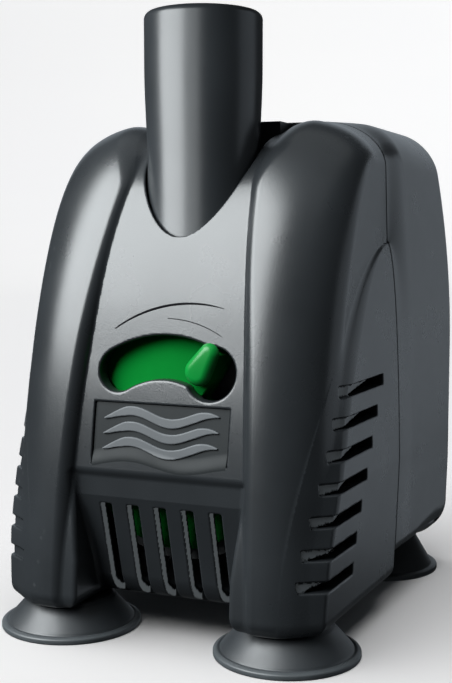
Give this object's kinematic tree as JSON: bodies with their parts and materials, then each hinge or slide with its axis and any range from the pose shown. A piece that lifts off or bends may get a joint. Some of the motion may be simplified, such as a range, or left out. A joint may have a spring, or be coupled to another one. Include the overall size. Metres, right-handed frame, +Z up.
{
  "type": "submersible circulation pump",
  "caption": "Submersible circulation pump: slope-fronted casing on suction cups, upright outlet tube, rotary flow regulator in a curved window and a slotted intake grille.",
  "frame": {"origin": "centre of the footprint, on the surface that the suction cups stand on", "axes": "+X to the pump's right seen from its front, +Y from the front cover to the rear housing, +Z up along the outlet tube"},
  "size_m": [0.0588, 0.0702, 0.0935],
  "materials": {
    "casing": "satin charcoal moulding with a fine spark-eroded texture",
    "plaque": "darker satin inlay without lettering",
    "outlet": "smooth dark grey, semi-gloss",
    "pump_plastic": "plain black moulding",
    "regulator": "bright green, semi-gloss",
    "impeller": "natural acetal",
    "ferrite": "ground ferrite",
    "ceramic": "polished ceramic rod",
    "seal_rubber": "black rubber",
    "lamination": "stacked sheet steel with blued edges",
    "bobbin": "natural nylon",
    "copper": "enamelled copper wire",
    "resin": "cast black resin",
    "cup_rubber": "dark translucent soft rubber"
  },
  "bodies": {
    "pump": {"rear_housing": "casing", "tube_cradle": "pump_plastic", "cable_gland": "seal_rubber", "volute_casing": "pump_plastic", "outlet_seal": "seal_rubber", "chamber_cover": "pump_plastic", "chamber_seal": "seal_rubber", "rotor_shaft": "ceramic", "front_bearing": "seal_rubber", "rear_bearing": "seal_rubber", "rotor_well": "pump_plastic", "motor_housing": "pump_plastic", "stator_core": "lamination", "bobbin_left": "bobbin", "bobbin_right": "bobbin", "winding_left": "copper", "winding_right": "copper", "potting_resin": "resin", "suction_cup_rear_left": "cup_rubber", "suction_cup_rear_right": "cup_rubber"},
    "cover": {"front_cover": "casing", "cover_plaque": "plaque", "suction_cup_front_left": "cup_rubber", "suction_cup_front_right": "cup_rubber"},
    "outlet": {"outlet_tube": "outlet"},
    "regulator": {"flow_regulator": "regulator"},
    "rotor": {"impeller": "impeller", "rotor_sleeve": "impeller", "rotor_magnet": "ferrite"}
  },
  "joints": [
    {"name": "rotor_spin", "type": "hinge", "parent": "pump", "child": "rotor", "pos_m": [0, 0, 0.0285], "axis": [0, 1, 0], "continuous": true},
    {"name": "regulator_turn", "type": "hinge", "parent": "pump", "child": "regulator", "pos_m": [0, 0, 0.0285], "axis": [0, 1, 0], "range_deg": [-50, 8.5]},
    {"name": "cover_slide", "type": "slide", "parent": "pump", "child": "cover", "axis": [0, -1, 0], "range_m": [0, 0.036]},
    {"name": "outlet_pull", "type": "slide", "parent": "pump", "child": "outlet", "axis": [0, 0, 1], "range_m": [0, 0.012]}
  ]
}
